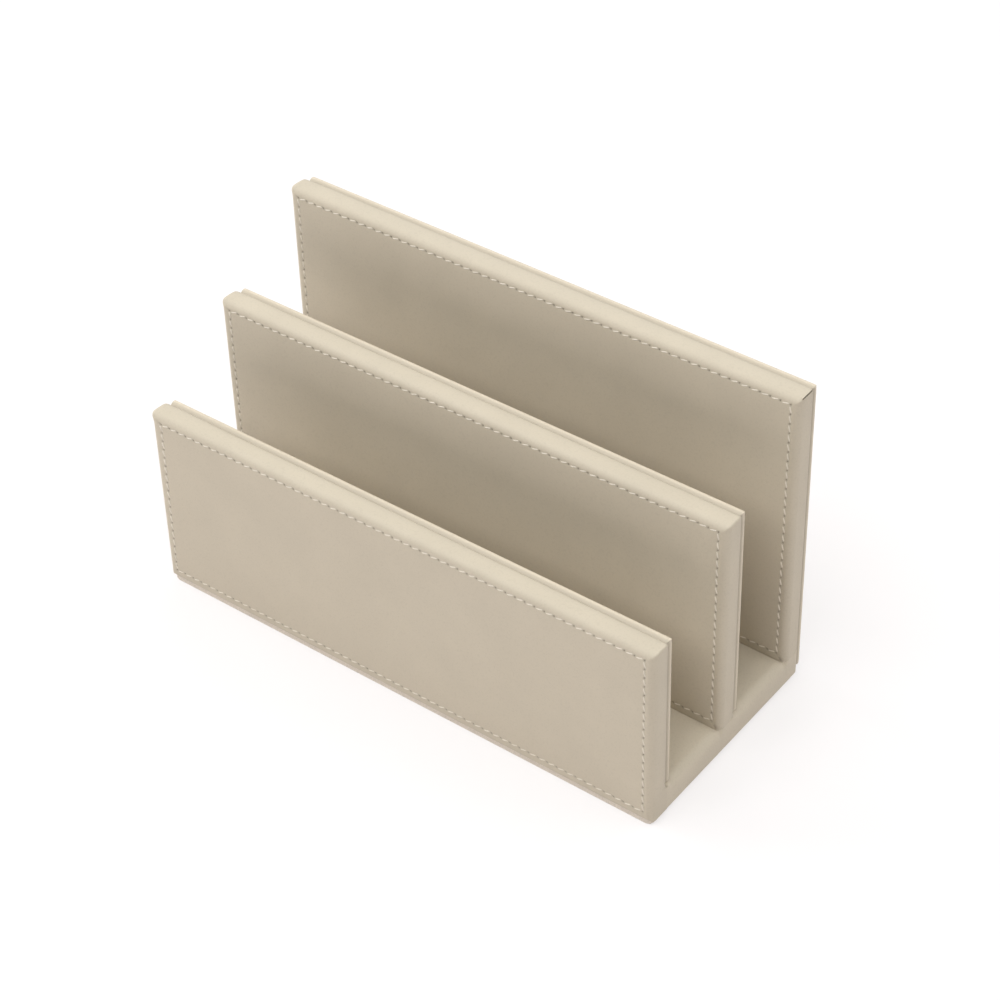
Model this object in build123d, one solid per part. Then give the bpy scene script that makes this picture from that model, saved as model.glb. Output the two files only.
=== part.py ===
from build123d import *
import os

# Letter holder: three leather-covered dividers, stepped up towards the back, on a leather-covered base.
# X runs along the letters, Y from the front divider to the back, Z up from the desk.
# The origin is on the desk, in the middle of the footprint.

# Outer sizes, in millimetres
WIDTH = 240.0
FRONT_HEIGHT = 87.4
MIDDLE_HEIGHT = 114.8
REAR_HEIGHT = 143.0
SLOT = 31.5

# Boards, sheets and leathers, from the front of a divider to its back and from the base down
LEATHER = 1.2
FOAM = 1.6
BOARD = 7.5
LINING_CARD = 2.5
LINING_LEATHER = 1.2
BASE_BOARD = 10.9
UNDERSIDE_CARD = 1.2
UNDERSIDE_FELT = 0.8

# Rolled edges, folds and seams
ROLL = 2.8
BACK_ROLL = 1.8
BASE_ROLL = 3.5
BASE_FOLD = 1.0
LINING_FOLD = 1.0
LINING_GROOVE = 0.8
LINING_INSET = 1.5
REAR_LINING_FOOT = 3.0
TURN_IN = 14.0
MITRE_GAP = 0.2

# Topstitching on the front faces
THREAD = 0.6
STITCH_PITCH = 4.35
STITCH_GAP = 1.05
CHANNEL_DEPTH = 0.4
CHANNEL_CLEARANCE = 0.15
STITCH_FROM_TOP = 3.3
STITCH_FROM_END = 4.1
STITCH_FROM_FOOT = 5.0
STITCH_FROM_FLOOR = 3.2

# Base joinery and underside
HOUSING = 5.0
HOUSING_CLEARANCE = 0.1
UNDERSIDE_INSET = 1.2
UNDERSIDE_CORNER = 2.0
FELT_FOLD = 0.5

# Fasteners
BRADS_PER_DIVIDER = 4
BRAD_WIDTH = 1.25
BRAD_THICKNESS = 1.0
BRAD_LENGTH = 22.0
BRAD_HEAD = 2.0
BRAD_HEAD_HEIGHT = 0.9
BRAD_POINT = 1.5
DOWELS = 2
DOWEL = 5.0
DOWEL_IN_BASE = 16.0
DOWEL_FRONT_WALL = 1.5
DOWEL_CHAMFER = 0.6
FASTENER_FROM_END = 24.0
FASTENER_CLEARANCE = 0.1

# Sizes that follow from these
WRAP = LEATHER + FOAM + BOARD
LINING = LINING_CARD + LINING_LEATHER
LINING_WIDTH = WIDTH - 2 * LINING_INSET
PITCH = WRAP + LINING + SLOT
DEPTH = 2 * PITCH + WRAP + LINING
UNDERSIDE = UNDERSIDE_CARD + UNDERSIDE_FELT
BASE_TOP = UNDERSIDE + BASE_BOARD + LEATHER
HOUSING_FLOOR = BASE_TOP - HOUSING
FRONT_Y = -DEPTH / 2
MIDDLE_Y = FRONT_Y + PITCH
REAR_Y = MIDDLE_Y + PITCH
BASE_FRONT = FRONT_Y + WRAP
BASE_BACK = REAR_Y + WRAP
SEAM_WIDTH = WIDTH - 2 * STITCH_FROM_END
THREAD_CROWN = THREAD / 2
CHANNEL = THREAD + 2 * CHANNEL_CLEARANCE
DOWEL_IN_FRONT = BOARD - DOWEL_FRONT_WALL


def block(x_size, y_low, y_high, z_low, z_high):
    """Plain block, centred on X."""
    low_corner = (Align.CENTER, Align.MIN, Align.MIN)
    return Pos(0, y_low, z_low) * Box(x_size, y_high - y_low, z_high - z_low, align=low_corner)


def edge_rounded(thickness, length, front_radius, back_radius=None):
    """Section of a sheet: its thickness along local X from 0, its length along local Y, centred."""
    section = Rectangle(thickness, length, align=(Align.MIN, Align.CENTER))
    section = fillet(section.vertices().group_by(Axis.X)[0], front_radius)
    if back_radius:
        section = fillet(section.vertices().group_by(Axis.X)[-1], back_radius)
    return section


def rolled_slab(width, y_low, y_high, z_low, z_high, front_radius, back_radius=None):
    """Upright slab whose edges are rolled on all four sides and meet in mitred corners."""
    thickness = y_high - y_low
    height = z_high - z_low
    upright = edge_rounded(thickness, height, front_radius, back_radius)
    level = edge_rounded(thickness, width, front_radius, back_radius)
    along_x = extrude(Plane.YZ * Pos(y_low, (z_low + z_high) / 2) * upright, width / 2, both=True)
    across = Plane(origin=(0, y_low, z_low), x_dir=(0, 1, 0), z_dir=(0, 0, 1))
    along_z = extrude(across * level, height)
    return along_x & along_z


def along_width(count):
    """X positions of evenly spaced fasteners."""
    span = WIDTH - 2 * FASTENER_FROM_END
    return [span * i / (count - 1) - span / 2 for i in range(count)]


def brad(gap=0.0):
    """Flat wire nail pointing up, its head's face at Z 0, grown by a gap to cut its hole."""
    shank = BRAD_WIDTH / 2 + gap
    head = BRAD_HEAD / 2 + gap
    neck = BRAD_HEAD_HEIGHT + gap
    tip = BRAD_LENGTH + gap
    shoulder = tip - BRAD_POINT
    right = [(head, 0), (head, neck), (shank, neck), (shank, shoulder)]
    left = [(-x, z) for x, z in reversed(right)]
    profile = make_face(Polyline(*right, (0, tip), *left, close=True))
    return extrude(Plane.XZ * profile, BRAD_THICKNESS / 2 + gap, both=True)


def peg(gap=0.0):
    """Round peg along Y across the joint of base and front divider, which is at Y 0."""
    length = DOWEL_IN_FRONT + DOWEL_IN_BASE + 2 * gap
    upright = Cylinder(DOWEL / 2 + gap, length, align=(Align.CENTER, Align.CENTER, Align.MIN))
    return Rot(-90, 0, 0) * Pos(0, 0, -DOWEL_IN_FRONT - gap) * upright


def dowel():
    """Wooden dowel, chamfered at both ends."""
    plain = peg()
    return chamfer(plain.edges().filter_by(GeomType.CIRCLE), DOWEL_CHAMFER)


def brad_places(front_y):
    """Nail positions under one divider, in the middle of its board's lower edge."""
    middle_of_edge = front_y + LEATHER + FOAM + (BOARD - LEATHER) / 2
    return [Pos(x, middle_of_edge, UNDERSIDE) for x in along_width(BRADS_PER_DIVIDER)]


BRAD_PLACES = brad_places(MIDDLE_Y) + brad_places(REAR_Y)
DOWEL_PLACES = [Pos(x, BASE_FRONT, UNDERSIDE + BASE_BOARD / 2) for x in along_width(DOWELS)]
BRAD_HOLES = [place * brad(FASTENER_CLEARANCE) for place in BRAD_PLACES]
DOWEL_HOLES = [place * peg(FASTENER_CLEARANCE) for place in DOWEL_PLACES]
FASTENER_HOLES = BRAD_HOLES + DOWEL_HOLES


def divider_core(front_y, foot, top):
    """What a divider's leather is folded round: foam and board together, their front edges rolled."""
    width = WIDTH - 2 * LEATHER
    front = front_y + LEATHER
    back = front_y + WRAP
    return rolled_slab(width, front, back, foot + LEATHER, top - LEATHER, ROLL - LEATHER)


def divider_foam(front_y, foot, top):
    """Thin foam sheet under the stitched leather."""
    slice_of_core = block(WIDTH, front_y, front_y + LEATHER + FOAM, foot, top)
    return divider_core(front_y, foot, top) & slice_of_core


def divider_board(front_y, foot, top):
    """Stiff board behind the foam, rebated round its back so that the turned-in leather lies flush."""
    back = front_y + WRAP
    slice_of_core = block(WIDTH, front_y + LEATHER + FOAM, back, foot, top)
    border = block(WIDTH, back - LEATHER, back, foot, top)
    border -= block(WIDTH - 2 * TURN_IN, back - LEATHER, back, foot + TURN_IN, top - TURN_IN)
    return (divider_core(front_y, foot, top) & slice_of_core) - border - FASTENER_HOLES


def mitre_cuts(front_y, foot, top):
    """Slits where the flaps of a divider's leather meet, at its four corners and across its back."""
    reach = 2 * (TURN_IN + LEATHER) * 2 ** 0.5
    plate = Box(reach, WRAP - ROLL, MITRE_GAP, align=(Align.CENTER, Align.MIN, Align.CENTER))
    corners = [(side, z, slope) for side in (-1, 1) for z, slope in ((top, -45), (foot, 45))]
    return [
        Pos(side * WIDTH / 2, front_y + ROLL, z) * Rot(0, side * slope, 0) * plate
        for side, z, slope in corners
    ]


def stitch_channel(front_y, low, high):
    """Sunk channel round a front face, in which the stitches lie."""
    bed = front_y + CHANNEL_DEPTH
    half = CHANNEL / 2
    outer = block(SEAM_WIDTH + CHANNEL, front_y, bed, low - half, high + half)
    return outer - block(SEAM_WIDTH - CHANNEL, front_y, bed, low + half, high - half)


def divider_outside(front_y, foot, top):
    """Outside of a divider's leather: its back edges are rolled too, but square where they meet the base."""
    back = front_y + WRAP
    square_back = rolled_slab(WIDTH, front_y, back, foot, top, ROLL)
    square_foot = square_back & block(WIDTH, front_y, back, foot, BASE_TOP)
    return rolled_slab(WIDTH, front_y, back, foot, top, ROLL, BACK_ROLL) + square_foot


def divider_cover(front_y, foot, top, core_pieces):
    """Leather folded round a divider: front, rolled edges, ends and the border turned in at the back."""
    outside = divider_outside(front_y, foot, top)
    return outside - core_pieces - FASTENER_HOLES - mitre_cuts(front_y, foot, top)


def stitch_bar(length):
    """One stitch: a short bar along X, its flat back at Y 0, narrowed all round towards its crown."""
    bed = Rectangle(length, THREAD)
    crown = Rectangle(length - THREAD + THREAD_CROWN, THREAD_CROWN)
    return Rot(90, 0, 0) * loft([bed, Pos(0, 0, THREAD) * crown], ruled=True)


def seam(length):
    """Stitches of one straight seam along X, centred on its middle."""
    count = round(length / STITCH_PITCH)
    step = length / count
    bar = stitch_bar(step - STITCH_GAP)
    return [Pos(step * (i + 0.5) - length / 2, 0, 0) * bar for i in range(count)]


def divider_stitching(front_y, low, high):
    """All stitches round one front face, resting in their channel."""
    bed = front_y + CHANNEL_DEPTH
    level = seam(SEAM_WIDTH)
    upright = [Rot(0, 90, 0) * stitch for stitch in seam(high - low)]
    stitches = [Pos(0, bed, z) * stitch for z in (low, high) for stitch in level]
    stitches += [
        Pos(side * SEAM_WIDTH / 2, bed, (low + high) / 2) * stitch for side in (-1, 1) for stitch in upright
    ]
    return Compound(children=stitches)


def lining_card(front_y, foot, top):
    """Stiff card of a lining panel, glued to the back of a divider."""
    back = front_y + WRAP
    width = LINING_WIDTH - 2 * LINING_LEATHER
    return block(width, back, back + LINING_CARD, foot + LINING_LEATHER, top - LINING_LEATHER)


def lining_cover(front_y, foot, top, card):
    """Leather over a lining panel, folded round the card's edges to the divider's back."""
    back = front_y + WRAP
    return rolled_slab(LINING_WIDTH, back, back + LINING, foot, top, LINING_GROOVE, LINING_FOLD) - card


def base_block(inset):
    """The base from its front joint to its back edge, its upper end edges rounded, less a leather's inset."""
    height = BASE_TOP - inset - UNDERSIDE
    section = Rectangle(WIDTH - 2 * inset, height, align=(Align.CENTER, Align.MIN))
    section = fillet(section.vertices().group_by(Axis.Y)[-1], BASE_ROLL - inset)
    back = BASE_BACK - inset
    end_to_end = Plane(origin=(0, back, UNDERSIDE), x_dir=(1, 0, 0), z_dir=(0, -1, 0))
    return extrude(end_to_end * section, back - BASE_FRONT)


def housings():
    """Room in the base for the feet of the middle and rear dividers."""
    gap = HOUSING_CLEARANCE
    return [
        rolled_slab(WIDTH + 2 * gap, y - gap, y + WRAP + gap, HOUSING_FLOOR, top, ROLL + gap)
        for y, top in ((MIDDLE_Y, MIDDLE_HEIGHT), (REAR_Y, REAR_HEIGHT))
    ]


def base_board():
    """Base core: housed for the middle divider, rebated for the rear one and for the turned-under leather."""
    border = block(WIDTH, BASE_FRONT, BASE_BACK, UNDERSIDE, UNDERSIDE + LEATHER)
    border -= block(WIDTH - 2 * TURN_IN, BASE_FRONT, BASE_BACK - TURN_IN, UNDERSIDE, UNDERSIDE + LEATHER)
    return base_block(LEATHER) - border - housings() - FASTENER_HOLES


def base_cover(board):
    """Leather over the base: slot floors, rounded ends, back edge and the border turned under."""
    outside = base_block(0)
    foot_edges = outside.edges().group_by(Axis.Z)[0]
    folds = foot_edges.filter_by(Axis.Y) + foot_edges.filter_by(Axis.X).sort_by(Axis.Y)[-1:]
    return fillet(folds, BASE_FOLD) - board - housings() - FASTENER_HOLES


def underside_sheet(inset, z_low):
    """Level sheet under the whole footprint, with rounded corners."""
    front = FRONT_Y + inset
    back = BASE_BACK - inset
    outline = RectangleRounded(WIDTH - 2 * inset, back - front, UNDERSIDE_CORNER)
    return extrude(Pos(0, (front + back) / 2, z_low) * outline, UNDERSIDE - z_low)


def underside_card():
    """Stiff card of the underside panel."""
    return underside_sheet(UNDERSIDE_INSET + UNDERSIDE_FELT, UNDERSIDE_FELT)


def underside_felt(card):
    """Soft covering that stands on the desk, folded up round the card's edges."""
    outside = underside_sheet(UNDERSIDE_INSET, 0)
    return chamfer(outside.edges().group_by(Axis.Z)[0], FELT_FOLD) - card


def build_divider(name, front_y, top, foot, lining_foot, stitch_low):
    """The six pieces of one divider, by node name."""
    foam = divider_foam(front_y, foot, top)
    board = divider_board(front_y, foot, top)
    stitch_high = top - STITCH_FROM_TOP
    cover = divider_cover(front_y, foot, top, [foam, board])
    lining_top = top - LINING_INSET
    card = lining_card(front_y, lining_foot, lining_top)
    return {
        f"{name}_board": board,
        f"{name}_foam": foam,
        f"{name}_cover": cover - stitch_channel(front_y, stitch_low, stitch_high),
        f"{name}_stitching": divider_stitching(front_y, stitch_low, stitch_high),
        f"{name}_lining_card": card,
        f"{name}_lining_cover": lining_cover(front_y, lining_foot, lining_top, card),
    }


def build_base():
    """The pieces of the base, its underside and its fasteners, by node name."""
    board = base_board()
    card = underside_card()
    return {
        "base_board": board,
        "base_cover": base_cover(board),
        "underside_card": card,
        "underside_felt": underside_felt(card),
        "divider_brads": Compound(children=[place * brad() for place in BRAD_PLACES]),
        "front_dowels": Compound(children=[place * dowel() for place in DOWEL_PLACES]),
    }


STITCH_FOOT = UNDERSIDE + STITCH_FROM_FOOT
STITCH_FLOOR = BASE_TOP + STITCH_FROM_FLOOR
parts = build_base()
parts |= build_divider("front", FRONT_Y, FRONT_HEIGHT, UNDERSIDE, BASE_TOP, STITCH_FOOT)
parts |= build_divider("middle", MIDDLE_Y, MIDDLE_HEIGHT, HOUSING_FLOOR, BASE_TOP, STITCH_FLOOR)
parts |= build_divider("rear", REAR_Y, REAR_HEIGHT, HOUSING_FLOOR, REAR_LINING_FOOT, STITCH_FLOOR)

os.makedirs("parts", exist_ok=True)
for node, shape in parts.items():
    export_step(shape, f"parts/{node}.step")
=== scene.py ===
"""Looks of a leather letter holder: covers, topstitching, linings, base, underside, cores and stage."""

import math

import bmesh
import bpy
import numpy as np
from bpy.props import FloatProperty, FloatVectorProperty, IntProperty, PointerProperty
from mathutils import Matrix, Vector


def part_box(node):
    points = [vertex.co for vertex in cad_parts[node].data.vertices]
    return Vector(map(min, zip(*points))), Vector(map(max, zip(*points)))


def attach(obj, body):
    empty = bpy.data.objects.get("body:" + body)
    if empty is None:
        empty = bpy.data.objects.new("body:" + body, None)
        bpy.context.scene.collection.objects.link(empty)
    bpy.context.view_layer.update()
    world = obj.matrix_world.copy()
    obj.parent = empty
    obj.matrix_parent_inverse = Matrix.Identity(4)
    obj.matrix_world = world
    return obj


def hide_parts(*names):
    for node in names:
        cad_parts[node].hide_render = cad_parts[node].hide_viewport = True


bl_info = {
    "name": "Letter Holder Looks",
    "version": (1, 0, 0),
    "blender": (4, 5, 0),
    "location": "3D View > Sidebar > Letter Holder",
    "description": "Dresses the packed frame of a letter holder in leather, thread and felt",
    "category": "Object",
}

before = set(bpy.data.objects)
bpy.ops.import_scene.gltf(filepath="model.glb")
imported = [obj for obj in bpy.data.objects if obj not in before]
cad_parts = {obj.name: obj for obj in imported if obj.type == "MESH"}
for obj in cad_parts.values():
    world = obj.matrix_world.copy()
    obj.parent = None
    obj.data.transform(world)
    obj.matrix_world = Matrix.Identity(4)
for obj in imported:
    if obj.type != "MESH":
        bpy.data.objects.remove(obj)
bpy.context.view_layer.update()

# Sizes taken from the frame, in metres
MM = 0.001
DIVIDERS = ("front", "middle", "rear")
COVER_BOX = {name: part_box(f"{name}_cover") for name in DIVIDERS}
SEAM_BOX = {name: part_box(f"{name}_stitching") for name in DIVIDERS}
FOAM_BOX = {name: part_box(f"{name}_foam") for name in DIVIDERS}
LINING_BOX = {name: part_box(f"{name}_lining_cover") for name in DIVIDERS}
BASE_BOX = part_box("base_cover")
FELT_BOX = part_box("underside_felt")
UNDERSIDE_CARD_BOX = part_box("underside_card")
LEATHER = FOAM_BOX["front"][0].y - COVER_BOX["front"][0].y
LINING_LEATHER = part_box("front_lining_card")[0].x - LINING_BOX["front"][0].x
BASE_TOP = BASE_BOX[1].z

BODY = "root"
SMOOTH_ANGLE = math.radians(38)


def length(name, description, default):
    """Property for a length in metres."""
    return FloatProperty(name=name, description=description, default=default, unit="LENGTH", precision=5)


def angle(name, description, degrees):
    """Property for an angle, given in degrees."""
    return FloatProperty(name=name, description=description, default=math.radians(degrees), subtype="ANGLE")


def share(name, description, default):
    """Property for a plain factor."""
    return FloatProperty(name=name, description=description, default=default, min=0.0, subtype="FACTOR")


def power(name, description, watts):
    """Property for a lamp's power."""
    return FloatProperty(name=name, description=description, default=watts, min=0.0, unit="POWER")


def colour(name, description, default):
    """Property for a linear colour."""
    return FloatVectorProperty(name=name, description=description, default=default, subtype="COLOR", size=3)


class FoldSettings(bpy.types.PropertyGroup):
    """How the leather is folded round boards and cards."""

    roll: length("Front Roll", "Radius of the padded edges round a divider's front", 3.0 * MM)
    back_roll: length("Back Roll", "Radius of a divider's edges towards its lining", 2.1 * MM)
    foot_roll: length("Foot Roll", "Radius of those edges below the slot floor", 0.05 * MM)
    crown: length("Crown", "Fall of a divider's top and ends towards the lining", 0.2 * MM)
    corner: length("Corner", "Rounding of a divider's mitred corners on the right", 0.45 * MM)
    soft_corner: length("Soft Corner", "Rounding of a divider's fuller corners on the left", 1.3 * MM)
    left_back: length("Left Back Roll", "Radius of those edges on the left", 1.7 * MM)
    soft_back: length("Soft Back", "How much wider that radius gets at the upper left corners", 0.9 * MM)
    left_drop: length("Left Lining Drop", "Fall of a lining's slope on the left", 0.5 * MM)
    mitre: length("Mitre Depth", "Depth of the crease along a mitre", 0.08 * MM)
    open_mitre: length("Open Mitre Depth", "Depth of the rear divider's gaping crease", 0.8 * MM)
    front_lean: length("Front Lean", "Lean of the front divider's left seam at its top", 2.3 * MM)
    middle_lean: length("Middle Lean", "The same for the middle divider", 1.2 * MM)
    rear_lean: length("Rear Lean", "The same for the rear divider", 0.9 * MM)
    turn_in: length("Turn-in", "Width of the border turned in behind a board", 14.0 * MM)
    lining_slope: length("Lining Slope", "Width of the slope from a lining's crest to the divider", 2.3 * MM)
    lining_drop: length("Lining Drop", "Fall of that slope", 1.05 * MM)
    lining_fold: length("Lining Fold", "Radius of a lining's outer edges", 1.0 * MM)
    lining_corner: length("Lining Corner", "Rounding of a lining's corners", 0.5 * MM)
    base_roll: length("Base Roll", "Radius of the base's upper end edges", 4.2 * MM)
    base_fold: length("Base Fold", "Radius of the base's lower edges", 1.0 * MM)
    seam_dip: length("Seam Dip", "How far the base's leather dips where a divider stands on it", 0.3 * MM)
    housing_gap: length("Housing Gap", "Clearance between a divider and its housing in the base", 0.05 * MM)
    foot_inset: length("Foot Inset", "How far a housed foot lies behind the base's end leather", 1.1 * MM)
    felt_fold: length("Felt Fold", "Radius of the underside's lower edges", 0.45 * MM)
    felt_corner: length("Felt Corner", "Rounding of the underside's corners", 2.0 * MM)


class SeamSettings(bpy.types.PropertyGroup):
    """The topstitching and what it does to the leather."""

    thread: length("Thread", "Thickness of the thread", 0.66 * MM)
    proud: length("Proud", "How far a stitch stands out of the front", 0.2 * MM)
    bar: length("Stitch Bar", "Width of the frame's stitches, which give the place of the seams", 0.6 * MM)
    pitch: length("Pitch", "Distance from needle hole to needle hole", 4.35 * MM)
    gap: length("Gap", "Part of the pitch that a stitch leaves bare", 1.35 * MM)
    groove: length("Groove Depth", "How far the seam pulls the leather in", 0.08 * MM)
    groove_width: length("Groove Width", "Half width of that groove", 0.8 * MM)
    hole: length("Hole Depth", "Depth of a needle hole below the groove", 0.4 * MM)
    hole_radius: length("Hole Radius", "Radius of a needle hole", 0.35 * MM)
    puff: length("Puff", "How far the padded leather swells beside the seam", 0.08 * MM)
    puff_width: length("Puff Width", "Distance of that swelling from the seam", 2.6 * MM)
    slant: angle("Slant", "Turn of each stitch out of the seam's line", -15.0)
    wobble: angle("Wobble", "Largest uneven turn of a stitch", 3.0)
    seed: IntProperty(name="Seed", description="Start of the uneven turns", default=7)
    samples: IntProperty(name="Points per Stitch", description="Leather points along one stitch", default=12)


class FinishSettings(bpy.types.PropertyGroup):
    """Colours and surface of the leather, thread and felt."""

    leather: colour("Leather", "Colour of the divider covers", (0.539, 0.479, 0.377))
    lining: colour("Lining Leather", "Colour of the linings", (0.618, 0.549, 0.432))
    base: colour("Base Leather", "Colour of the base's leather", (0.574, 0.511, 0.403))
    thread: colour("Thread", "Colour of the topstitching", (0.752, 0.692, 0.590))
    felt: colour("Felt", "Colour of the underside", (0.735, 0.667, 0.575))
    roughness: share("Roughness", "Roughness of the leather", 0.56)
    grain: length("Grain Size", "Size of the leather's grain", 0.75 * MM)
    relief: share("Grain Relief", "Strength of the leather's grain", 0.16)
    mottle: share("Mottling", "Strength of the leather's cloudy tone", 0.035)


class StageSettings(bpy.types.PropertyGroup):
    """Camera, lamps, floor and surroundings."""

    target: FloatVectorProperty(
        name="Target",
        description="Point in the middle of the picture",
        default=(4.05 * MM, 10.77 * MM, 59.51 * MM),
        subtype="XYZ",
        unit="LENGTH",
    )
    distance: length("Distance", "From the camera to the target", 1.05)
    azimuth: angle("Azimuth", "Turn of the camera from the front towards the right", 38.163)
    elevation: angle("Elevation", "Height of the camera above the horizon", 40.289)
    roll: angle("Roll", "Turn of the picture", -1.852)
    focal_length: FloatProperty(
        name="Focal Length", description="In millimetres on a 36 mm sensor", default=96.737, unit="CAMERA"
    )
    left: power("Left Power", "Watts of the softbox on the left, which shines along the slots", 42.0)
    front: power("Front Power", "Watts of the softbox high in front", 17.2)
    back: power("Back Power", "Watts of the softbox behind on the left", 6.8)
    right: power("Right Power", "Watts of the softbox on the right", 5.8)
    high: power("High Power", "Watts of the softbox high behind on the right", 9.6)
    ambient: share("Ambient", "Strength of the even light from all round", 0.02)
    shadow: share("Shadow", "How much of the floor's own shading the camera sees", 0.4)
    floor: colour("Floor", "Colour of the floor", (0.95, 0.90, 0.895))


class LetterHolderSettings(bpy.types.PropertyGroup):
    """All settings of the letter holder's looks."""

    folds: PointerProperty(type=FoldSettings)
    seam: PointerProperty(type=SeamSettings)
    finish: PointerProperty(type=FinishSettings)
    stage: PointerProperty(type=StageSettings)


# Rectangles and loops round them. A rectangle is (left, right, low, high) in the plane of a panel.


def drawn_in(rect, ends, low=None, high=None):
    """Rectangle with its sides moved inwards, by one distance or by its own for ends, foot and top."""
    left, right, bottom, top = rect
    low = ends if low is None else low
    high = ends if high is None else high
    return left + ends, right - ends, bottom + low, top - high


def loop_shares(level, upright):
    """Side number and share along the side of each point of a loop, from the lower left corner on."""
    counts = (level, upright, level, upright)
    side = np.concatenate([np.full(count, number) for number, count in enumerate(counts)])
    along = np.concatenate([np.arange(count) / count for count in counts])
    return side, along


def around(rect, shares):
    """Points of a loop on a rectangle."""
    left, right, low, high = rect
    side, along = shares
    u = np.choose(side, (left + along * (right - left), right, right - along * (right - left), left))
    v = np.choose(side, (low, low + along * (high - low), high, high - along * (high - low)))
    return u, v


def rounded(u, v, rect, radius):
    """Points of a loop with the rectangle's corners rounded."""
    left, right, low, high = rect
    middle_u = (left + right) / 2
    middle_v = (low + high) / 2
    from_end = (right - left) / 2 - np.abs(u - middle_u)
    from_edge = (high - low) / 2 - np.abs(v - middle_v)
    along = np.maximum(from_end, from_edge)
    turn = np.clip(1 - along / radius, 0, 1) * math.pi / 4
    near = along < radius
    kept = np.where(near, radius * (1 - np.sin(turn)), along)
    inward = np.where(near, radius * (1 - np.cos(turn)), 0)
    on_level = from_edge <= from_end
    new_end = np.where(on_level, kept, from_end + inward)
    new_edge = np.where(on_level, from_edge + inward, kept)
    return (
        middle_u + np.sign(u - middle_u) * ((right - left) / 2 - new_end),
        middle_v + np.sign(v - middle_v) * ((high - low) / 2 - new_edge),
    )


def quarter(steps):
    """Angles over a quarter turn, without its start."""
    return [math.pi / 2 * (i + 1) / steps for i in range(steps)]


def smooth_step(low, high, value):
    """Share from 0 to 1 that a value has gone between two limits, eased at both."""
    t = np.clip((value - low) / (high - low), 0, 1)
    return t * t * (3 - 2 * t)


class Shell:
    """Points, faces and point marks of one closed piece, collected loop by loop."""

    def __init__(self, marks=()):
        self.points = []
        self.faces = []
        self.marks = {name: [] for name in marks}
        self.count = 0

    def add(self, x, y, z, **marks):
        """Adds points and returns their numbers."""
        x, y, z = np.broadcast_arrays(x, y, z)
        self.points.append(np.stack([x.ravel(), y.ravel(), z.ravel()], axis=1))
        for name, values in self.marks.items():
            values.append(np.broadcast_to(marks.get(name, 0.0), x.shape).ravel())
        numbers = np.arange(self.count, self.count + x.size)
        self.count += x.size
        return numbers

    def bridge(self, first, second):
        """Joins two loops of equally many points."""
        after_first = np.roll(first, -1)
        after_second = np.roll(second, -1)
        self.faces += np.stack([first, after_first, after_second, second], axis=1).tolist()

    def join(self, loops):
        """Joins each loop to the next one."""
        for first, second in zip(loops, loops[1:]):
            self.bridge(first, second)

    def close(self, loops):
        """Closes the first and the last loop with one face each."""
        self.faces += [loops[0].tolist(), loops[-1].tolist()]

    def cap(self, loop, level, upright, grid):
        """Closes a loop with a coarse grid of points, numbered row by row from the lower left corner."""
        rows = grid.reshape(upright + 1, level + 1)
        border = np.concatenate([rows[0, :-1], rows[:-1, -1], rows[-1, :0:-1], rows[:0:-1, 0]])
        step = len(loop) // len(border)
        for i, start in enumerate(border):
            fine = [loop[(i * step + k) % len(loop)] for k in range(step + 1)]
            self.faces.append([int(n) for n in (*fine, border[(i + 1) % len(border)], start)])
        quads = np.stack([rows[:-1, :-1], rows[:-1, 1:], rows[1:, 1:], rows[1:, :-1]], axis=-1)
        self.faces += quads.reshape(-1, 4).tolist()

    def piece(self, name, material):
        """Object made of the shell, with its faces turned outwards."""
        mesh = bpy.data.meshes.new(name)
        mesh.from_pydata(np.concatenate(self.points), [], self.faces)
        for mark, values in self.marks.items():
            attribute = mesh.attributes.new(mark, "FLOAT", "POINT")
            attribute.data.foreach_set("value", np.concatenate(values).astype(np.float32))
        return finished(name, mesh, material)


def finished(name, mesh, material):
    """Object of a closed mesh: faces turned outwards, smooth where it is round, with its material."""
    whole = bmesh.new()
    whole.from_mesh(mesh)
    bmesh.ops.recalc_face_normals(whole, faces=whole.faces)
    whole.to_mesh(mesh)
    whole.free()
    mesh.polygons.foreach_set("use_smooth", np.ones(len(mesh.polygons), dtype=bool))
    mesh.set_sharp_from_angle(angle=SMOOTH_ANGLE)
    mesh.materials.clear()
    mesh.materials.append(material)
    mesh.update()
    piece = bpy.data.objects.new(name, mesh)
    bpy.context.scene.collection.objects.link(piece)
    return piece


def seat(piece, slot, *nodes):
    """Puts a finished piece in the place of frame nodes and hides those nodes; the slot is not used."""
    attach(piece, BODY)
    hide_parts(*nodes)


def grid_on(rect, level, upright):
    """Grid points on a rectangle, row by row from the lower left corner."""
    left, right, low, high = rect
    along, up = np.meshgrid(np.linspace(0, 1, level + 1), np.linspace(0, 1, upright + 1))
    return left + along * (right - left), low + up * (high - low)


# Seams


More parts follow.
